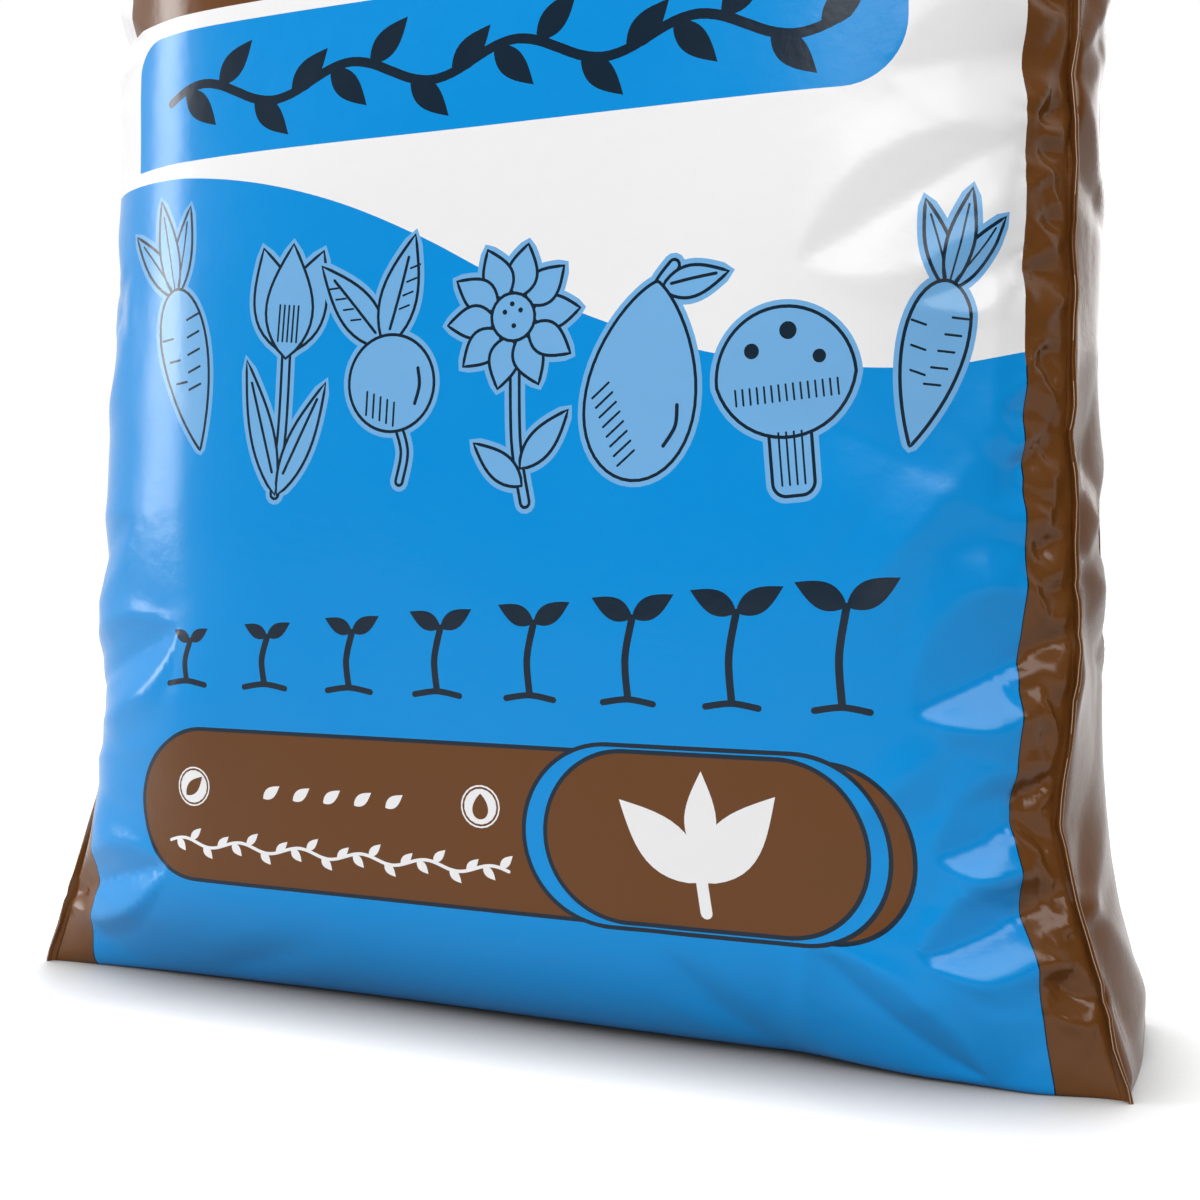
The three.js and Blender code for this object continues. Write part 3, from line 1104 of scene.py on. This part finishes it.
def printed_front(skin):
    """The front panel, cut along the print. Returns its left, right, lower and upper border."""
    grid = front_places()
    items = [(ink, closely_spaced(outline) * MM) for ink, outline in front_print()]
    lines = np.concatenate([outline for _, outline in items])
    near_line = KDTree(len(lines))
    for number, (u, v) in enumerate(lines):
        near_line.insert((u, v, 0), number)
    near_line.balance()
    border = (np.abs(grid[:, 0]) == SEAM_WAY) | np.isin(grid[:, 1], mesh_way[[0, -1]])
    clear = np.array([near_line.find((u, v, 0))[2] > LINE_CLEARANCE for u, v in grid])
    grid = grid[border | clear]
    places = np.concatenate([grid, lines])
    first = len(grid)
    edges = []
    for _, outline in items:
        numbers = first + np.arange(len(outline))
        edges += zip(numbers.tolist(), np.roll(numbers, -1).tolist())
        first += len(outline)
    made = delaunay_2d_cdt([Vector(place) for place in places], edges, [], 0, SAME_PLACE)
    flat = np.array([tuple(point) for point in made[0]])
    inks = painted(flat[np.array(made[2])].mean(1), items)
    row = np.interp(flat[:, 1], ROW_WAY, np.arange(len(ROW_WAY)))
    column = (flat[:, 0] + SEAM_WAY) / (PANEL_WAY[1] - PANEL_WAY[0])
    points, normals = film_with_normals(film[:, FRONT], row, column)
    edge = SEAM_WAY - np.abs(flat[:, 0])
    points -= normals * seam_groove(edge, points[:, 2])[:, None]
    numbers = skin.add_points(kept_in(points))
    skin.add_faces([[int(numbers[corner]) for corner in face] for face in made[2]], inks)
    inner = edge > GROOVE_REACH
    skin.normals.update(zip(numbers[inner].tolist(), normals[inner]))
    borders = []
    for axis, level in ((0, -SEAM_WAY), (0, SEAM_WAY), (1, 0), (1, mesh_way[-1])):
        on = np.flatnonzero(np.abs(flat[:, axis] - level) < SAME_PLACE)
        borders.append(numbers[on[np.argsort(flat[on, 1 - axis])]])
    return borders


def film_strip(skin, grid, places, edge_distance):
    """A panel on the mesh's rows as columns of point numbers. `places` are columns of the grid."""
    row, column = np.meshgrid(mesh_rows, places, indexing="ij")
    points, normals = film_with_normals(grid, row.ravel(), column.ravel())
    points -= normals * seam_groove(edge_distance.ravel(), points[:, 2])[:, None]
    numbers = skin.add_points(kept_in(points)).reshape(row.shape)
    return list(numbers.T)


def plain_back(skin):
    """The back panel, blue between two brown strips. Returns its columns of point numbers."""
    columns = mirrored_places(BACK_STEP)
    edge = PRINT_SIDE * MM
    columns[np.argmin(np.abs(columns - edge))] = edge
    columns[np.argmin(np.abs(columns + edge))] = -edge
    inner = np.abs(columns[:-1] + columns[1:]) / 2 < edge
    distance = np.broadcast_to(SEAM_WAY - np.abs(columns), (row_count, len(columns)))
    strip = film_strip(skin, film[:, BACK], (columns + SEAM_WAY) / (PANEL_WAY[1] - PANEL_WAY[0]), distance)
    below = mesh_way[:-1] < PRINT_TOP * MM
    inks = np.where(below[:, None] & inner[None, :], "blue", "brown")
    skin.add_strip(strip, inks)
    return strip


def side_strip(skin, columns):
    """A side between two seams. Its first and last columns lie just beside the pressed seams."""
    grid = film[:, columns]
    share = (1 - np.cos(np.linspace(0, np.pi, SIDE_STEPS + 1))) / 2
    share = lerp(share, np.linspace(0, 1, SIDE_STEPS + 1), SIDE_EVENNESS)
    places = lerp(SIDE_INSET, len(columns) - 1 - SIDE_INSET, share)
    wide = 2 * seam_half_depth(np.interp(mesh_rows, np.arange(len(ROW_Z)), ROW_Z))
    distance = np.minimum(share, 1 - share)[None, :] * wide[:, None]
    strip = film_strip(skin, grid, places, distance)
    skin.add_strip(strip)
    return strip


def wander(seed, count):
    """A slow, kinked change along a seam, from -1 to 1."""
    chance = np.random.default_rng(seed)
    knots = chance.uniform(-1, 1, count // KINK_ROWS + 2)
    return np.interp(np.arange(count) / KINK_ROWS, np.arange(len(knots)), knots)


def pressed_seam(skin, seed, from_column, to_column, out, film_column):
    """A fin of pressed film with two round lips and a notch. Returns its new columns."""
    seam = kept_in(film_at(film, mesh_rows, np.full(row_count, float(film_column))))
    z = seam[:, 2]
    heading = np.arctan2(out[1], out[0]) + FIN_TURN * wander(seed, len(z))
    outward_way = np.stack([np.cos(heading), np.sin(heading), np.zeros_like(z)], 1)
    along_ring = np.stack([-np.sin(heading), np.cos(heading), np.zeros_like(z)], 1)
    ragged = FIN_LENGTH * (1 + FIN_WANDER * wander(seed + LENGTH_SEED, len(z)))
    length = lerp(ragged, HEADER_THICKNESS / 2, closing(z))[:, None]
    half = lerp(FIN_THICKNESS, HEADER_THICKNESS / 3, closing(z))[:, None] / 2
    notch = np.minimum(FIN_NOTCH, length / 2)
    lip = half * LIP_SHARE

    def lip_point(side, angle):
        outwards = length - lip + lip * math.cos(math.radians(angle))
        sideways = side * (half - lip + lip * math.sin(math.radians(angle)))
        return skin.add_points(seam + outward_way * outwards + along_ring * sideways)

    columns = [lip_point(-1, angle) for angle in LIP_ANGLES]
    columns.append(skin.add_points(seam + outward_way * (length - notch)))
    columns += [lip_point(1, angle) for angle in LIP_ANGLES[::-1]]
    strips = [from_column, *columns, to_column]
    # Paler brown on one strip of each lip, in kinked stretches below the weld: a painted highlight.
    inks = np.full((len(z) - 1, len(strips) - 1), "brown", dtype=object)
    for number, strip in enumerate((HIGHLIGHT_STRIP, len(strips) - 2 - HIGHLIGHT_STRIP)):
        painted_highlight = wander(seed + HIGHLIGHT_SEED + number, len(z) - 1) > HIGHLIGHT_FROM
        inks[painted_highlight & (z[1:] < WELD_HEIGHT), strip] = "painted_highlight"
    skin.add_strip(strips, inks)
    for column in (from_column, columns[len(LIP_ANGLES)], to_column):
        skin.mark_sharp(column)
    return columns


def creased_base(skin, ring):
    """The base, drawn in to the weld crease along its middle."""
    outline = np.concatenate(skin.points)[ring]
    shrink = 1 - 2 * CREASE_INSET / EAR_SPAN
    mouth = skin.add_points(outline * (shrink, CREASE_WIDTH / EAR_DEPTH, 0))
    bottom = skin.add_points(outline * (shrink, CREASE_FLOOR / EAR_DEPTH, 0) + (0, 0, CREASE_DEPTH))
    rows = [np.append(part, part[0]) for part in (bottom, mouth, ring)]
    printed = np.abs(outline[:, 0]) < PRINT_EDGE[0][0] * MM
    skin.add_strip(list(np.stack(rows).T), np.where(printed, "blue", "brown")[None, :].repeat(2, 0))
    for row in rows:
        skin.mark_sharp(row)
    skin.add_cap(bottom, True)


def bag_skin():
    """The whole bag: panels and sides, the seams between them, then base and top."""
    skin = Skin()
    left_edge, right_edge, lower_edge, upper_edge = printed_front(skin)
    right = side_strip(skin, RIGHT)
    back = plain_back(skin)
    left = side_strip(skin, LEFT)
    fins = [
        pressed_seam(skin, 1, right_edge, right[0], (1, -1), PANEL_COUNT - 1),
        pressed_seam(skin, 2, right[-1], back[0], (1, 1), BACK.start),
        pressed_seam(skin, 3, back[-1], left[0], (-1, 1), BACK.stop - 1),
        pressed_seam(skin, 4, left[-1], left_edge, (-1, -1), 0),
    ]
    around = [fins[0], right, fins[1], back, fins[2], left, fins[3]]
    for end, edge in ((0, lower_edge), (-1, upper_edge)):
        ring = np.concatenate([edge] + [[column[end] for column in group] for group in around])
        if end == 0:
            creased_base(skin, ring)
        else:
            skin.add_cap(ring, False)
            skin.mark_sharp(np.append(ring, ring[0]))
    return skin


def bag_mesh(name, materials):
    """The skin as a mesh with sharp seam lines, and with the film's own normals on the front."""
    skin = bag_skin()
    points = np.concatenate(skin.points)
    mesh = bpy.data.meshes.new(name)
    mesh.from_pydata(points.tolist(), [], skin.faces)
    for ink in INKS:
        mesh.materials.append(materials[ink])
    mesh.polygons.foreach_set("material_index", [INKS.index(ink) for ink in skin.inks])
    mesh.polygons.foreach_set("use_smooth", [True] * len(skin.faces))
    pairs = np.sort(np.concatenate(skin.sharp), 1)
    wanted = pairs[:, 0] * skin.count + pairs[:, 1]
    ends = np.empty(len(mesh.edges) * 2, int)
    mesh.edges.foreach_get("vertices", ends)
    ends = np.sort(ends.reshape(-1, 2), 1)
    mesh.edges.foreach_set("use_edge_sharp", np.isin(ends[:, 0] * skin.count + ends[:, 1], wanted))
    corners = np.empty(len(mesh.loops), int)
    mesh.loops.foreach_get("vertex_index", corners)
    normals = np.zeros((skin.count, 3))
    for number, normal in skin.normals.items():
        normals[number] = normal
    mesh.normals_split_custom_set(normals[corners].tolist())
    mesh.update()
    return mesh


# Materials

INK_COLOURS = {
    "brown": (0.137, 0.049, 0.0105),
    "white": (0.87, 0.865, 0.87),
    "blue": (0.0015, 0.272, 0.700),
    "pale": (0.170, 0.425, 0.745),
    "navy": (0.0070, 0.0190, 0.0360),
    # A paler brown painted on the fin lips as a highlight
    "painted_highlight": (0.42, 0.29, 0.20),
}
FILM_ROUGHNESS = 0.23
FILM_CRINKLE = 0.6
FILM_IOR = 1.5
FILM_SPECULAR = 0.25
# Noises of the film: spots per metre, then detail
SMUDGES = (26, 4)
CRINKLES = (140, 3)
GRAIN = (900, 2)
SMUDGE_RANGE = 0.16
GRAIN_SHARE = 0.12
BUMP_STRENGTH = 0.25
BUMP_HEIGHT = 0.001


def math_node(tree, operation, a, b):
    node = tree.nodes.new("ShaderNodeMath")
    node.operation = operation
    for socket, value in zip(node.inputs, (a, b)):
        if isinstance(value, (int, float)):
            socket.default_value = value
        else:
            tree.links.new(value, socket)
    return node.outputs[0]


def ramp_node(tree, value, from_range, to_range):
    node = tree.nodes.new("ShaderNodeMapRange")
    node.interpolation_type = "SMOOTHSTEP"
    for name, number in zip(("From Min", "From Max", "To Min", "To Max"), (*from_range, *to_range)):
        node.inputs[name].default_value = number
    tree.links.new(value, node.inputs["Value"])
    return node.outputs["Result"]


def vector_node(tree, operation, value, other=(0, 0, 0)):
    node = tree.nodes.new("ShaderNodeVectorMath")
    node.operation = operation
    tree.links.new(value, node.inputs[0])
    node.inputs[1].default_value = other
    return node.outputs["Value"]


def mix_node(tree, factor, a, b):
    node = tree.nodes.new("ShaderNodeMix")
    for name, value in (("Factor", factor), ("A", a), ("B", b)):
        if isinstance(value, (int, float)):
            node.inputs[name].default_value = value
        else:
            tree.links.new(value, node.inputs[name])
    return node.outputs["Result"]


def film_gloss_group():
    """Smudges of the gloss and fine crinkles of the film, shared by all inks."""
    group = bpy.data.node_groups.new("film_gloss", "ShaderNodeTree")
    sockets = {"Dullness": "INPUT", "Crinkle": "INPUT", "Roughness": "OUTPUT", "Height": "OUTPUT"}
    for name, way in sockets.items():
        group.interface.new_socket(name=name, in_out=way, socket_type="NodeSocketFloat")
    entry = group.nodes.new("NodeGroupInput")
    leave = group.nodes.new("NodeGroupOutput")
    place = group.nodes.new("ShaderNodeTexCoord").outputs["Object"]

    def noise(scale, detail):
        node = group.nodes.new("ShaderNodeTexNoise")
        node.inputs["Scale"].default_value = scale
        node.inputs["Detail"].default_value = detail
        group.links.new(place, node.inputs["Vector"])
        return node.outputs["Fac"]

    smudge = math_node(group, "SUBTRACT", noise(*SMUDGES), 0.5)
    smudge = math_node(group, "MULTIPLY", smudge, SMUDGE_RANGE)
    group.links.new(math_node(group, "ADD", entry.outputs["Dullness"], smudge), leave.inputs["Roughness"])
    grain = math_node(group, "MULTIPLY", noise(*GRAIN), GRAIN_SHARE)
    crinkle = math_node(group, "ADD", noise(*CRINKLES), grain)
    group.links.new(math_node(group, "MULTIPLY", crinkle, entry.outputs["Crinkle"]), leave.inputs["Height"])
    return group


def ink_material(name, group, colour):
    material = bpy.data.materials.new(name + "_ink")
    material.use_nodes = True
    nodes, links = material.node_tree.nodes, material.node_tree.links
    shader = nodes["Principled BSDF"]
    shader.inputs["Base Color"].default_value = (*colour, 1)
    shader.inputs["IOR"].default_value = FILM_IOR
    shader.inputs["Specular IOR Level"].default_value = FILM_SPECULAR
    film_gloss = nodes.new("ShaderNodeGroup")
    film_gloss.node_tree = group
    film_gloss.inputs["Dullness"].default_value = FILM_ROUGHNESS
    film_gloss.inputs["Crinkle"].default_value = FILM_CRINKLE
    bump = nodes.new("ShaderNodeBump")
    bump.inputs["Strength"].default_value = BUMP_STRENGTH
    bump.inputs["Distance"].default_value = BUMP_HEIGHT
    links.new(film_gloss.outputs["Roughness"], shader.inputs["Roughness"])
    links.new(film_gloss.outputs["Height"], bump.inputs["Height"])
    links.new(bump.outputs["Normal"], shader.inputs["Normal"])
    return material


film_gloss = film_gloss_group()
inks = {name: ink_material(name, film_gloss, colour) for name, colour in INK_COLOURS.items()}
bag = bpy.data.objects.new("film_bag", bag_mesh("film_bag", inks))
bpy.context.collection.objects.link(bag)
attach(bag, "root")
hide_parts(NODE)


# Stage: a white floor that runs out into a white backdrop, a studio that is dim behind the camera,
# and four soft lamps

FLOOR_REACH = 6
FLOOR_ROUGHNESS = 0.6
# How white the floor is where it is seen, and for the light that it throws back
FLOOR_WHITE = 0.6
FLOOR_BOUNCE = 0.30
# How far the floor glows beside the bag, and the distances over which it runs out into plain white
FLOOR_LIFT = 0.55
FLOOR_FADE = (0.3, 1.2)
# The shadow where the bag touches the floor
SHADOW_REACH = 0.042
SHADOW_DEPTH = 1.25
SHADOW_SAMPLES = 6
# The way in which the studio is dim, cosines between which it turns so, and the levels of light
DIM_WAY = (0.48, -0.88, 0.0)
DIM_RANGE = (-0.05, 0.60)
DIM_LEVEL = 0.05
STUDIO_LEVEL = 0.26


def seen_rays(tree, path):
    """1 for what the camera sees straight, mirrored or through glass, and 0 for scattered light."""
    rays = path.outputs
    mirrored = math_node(tree, "MAXIMUM", rays["Is Glossy Ray"], rays["Is Transmission Ray"])
    return math_node(tree, "MAXIMUM", rays["Is Camera Ray"], mirrored)


def white_floor():
    mesh = bpy.data.meshes.new("floor")
    corners = [(x * FLOOR_REACH, y * FLOOR_REACH, 0) for x, y in ((-1, -1), (1, -1), (1, 1), (-1, 1))]
    mesh.from_pydata(corners, [], [(0, 1, 2, 3)])
    floor = bpy.data.objects.new("floor", mesh)
    bpy.context.collection.objects.link(floor)
    material = bpy.data.materials.new("floor_white")
    material.use_nodes = True
    tree = material.node_tree
    shader = tree.nodes["Principled BSDF"]
    shader.inputs["Roughness"].default_value = FLOOR_ROUGHNESS
    shader.inputs["Emission Color"].default_value = (1, 1, 1, 1)
    seen = seen_rays(tree, tree.nodes.new("ShaderNodeLightPath"))
    place = tree.nodes.new("ShaderNodeTexCoord").outputs["Object"]
    far = ramp_node(tree, vector_node(tree, "LENGTH", place), FLOOR_FADE, (0, 1))
    contact = tree.nodes.new("ShaderNodeAmbientOcclusion")
    contact.samples = SHADOW_SAMPLES
    contact.inputs["Distance"].default_value = SHADOW_REACH
    open_floor = math_node(tree, "POWER", contact.outputs["AO"], SHADOW_DEPTH)
    near_white = mix_node(tree, seen, FLOOR_BOUNCE, math_node(tree, "MULTIPLY", open_floor, FLOOR_WHITE))
    level = math_node(tree, "MULTIPLY", near_white, math_node(tree, "SUBTRACT", 1, far))
    tree.links.new(level, shader.inputs["Base Color"])
    glow = math_node(tree, "MULTIPLY", ramp_node(tree, far, (0, 1), (FLOOR_LIFT, 1)), open_floor)
    tree.links.new(math_node(tree, "MULTIPLY", glow, seen), shader.inputs["Emission Strength"])
    mesh.materials.append(material)


def white_studio():
    world = bpy.data.worlds.new("studio")
    bpy.context.scene.world = world
    world.use_nodes = True
    tree = world.node_tree
    background = tree.nodes["Background"]
    background.inputs["Color"].default_value = (1, 1, 1, 1)
    way = tree.nodes.new("ShaderNodeTexCoord").outputs["Generated"]
    backdrop = ramp_node(tree, vector_node(tree, "DOT_PRODUCT", way, DIM_WAY), DIM_RANGE, (1, DIM_LEVEL))
    path = tree.nodes.new("ShaderNodeLightPath")
    white = math_node(tree, "MAXIMUM", path.outputs["Is Camera Ray"], backdrop)
    level = mix_node(tree, seen_rays(tree, path), STUDIO_LEVEL, white)
    tree.links.new(level, background.inputs["Strength"])


def soft_lamp(name, place, aim, size, power):
    lamp = bpy.data.lights.new(name, "AREA")
    lamp.shape = "RECTANGLE"
    lamp.size, lamp.size_y = size
    lamp.energy = power
    holder = bpy.data.objects.new(name, lamp)
    holder.location = place
    holder.rotation_euler = (Vector(aim) - Vector(place)).to_track_quat("-Z", "Y").to_euler()
    bpy.context.collection.objects.link(holder)


white_floor()
white_studio()
# Each lamp: place, what it points at, width and height, power
soft_lamp("key", (-1.5, -0.6, 0.8), (0, 0, 0.25), (0.45, 1.3), 19)
soft_lamp("overhead", (0.55, -1.3, 1.15), (0, 0, 0.2), (1.5, 0.8), 22.5)
soft_lamp("back", (0.45, 1.6, 0.8), (0, 0, 0.3), (1.2, 0.8), 5)
soft_lamp("fill", (-0.7, 1.5, 0.9), (0, 0, 0.3), (1.2, 0.8), 16)

# Camera
PHOTO_SIZE = 1200
FOCAL_PIXELS = 1618.3
SENSOR = 36
CAMERA_PLACE = (0.2628, -0.5652, 0.1731)
CAMERA_DIP = 1.96
CAMERA_TURN = 23.67
CAMERA_NEAR = 0.01
camera_data = bpy.data.cameras.new("camera")
camera_data.sensor_width = SENSOR
camera_data.lens = SENSOR * FOCAL_PIXELS / PHOTO_SIZE
camera_data.clip_start = CAMERA_NEAR
camera = bpy.data.objects.new("camera", camera_data)
camera.location = CAMERA_PLACE
camera.rotation_euler = (math.radians(90 - CAMERA_DIP), 0, math.radians(CAMERA_TURN))
bpy.context.collection.objects.link(camera)
bpy.context.scene.camera = camera
bpy.context.scene.view_settings.view_transform = "Standard"
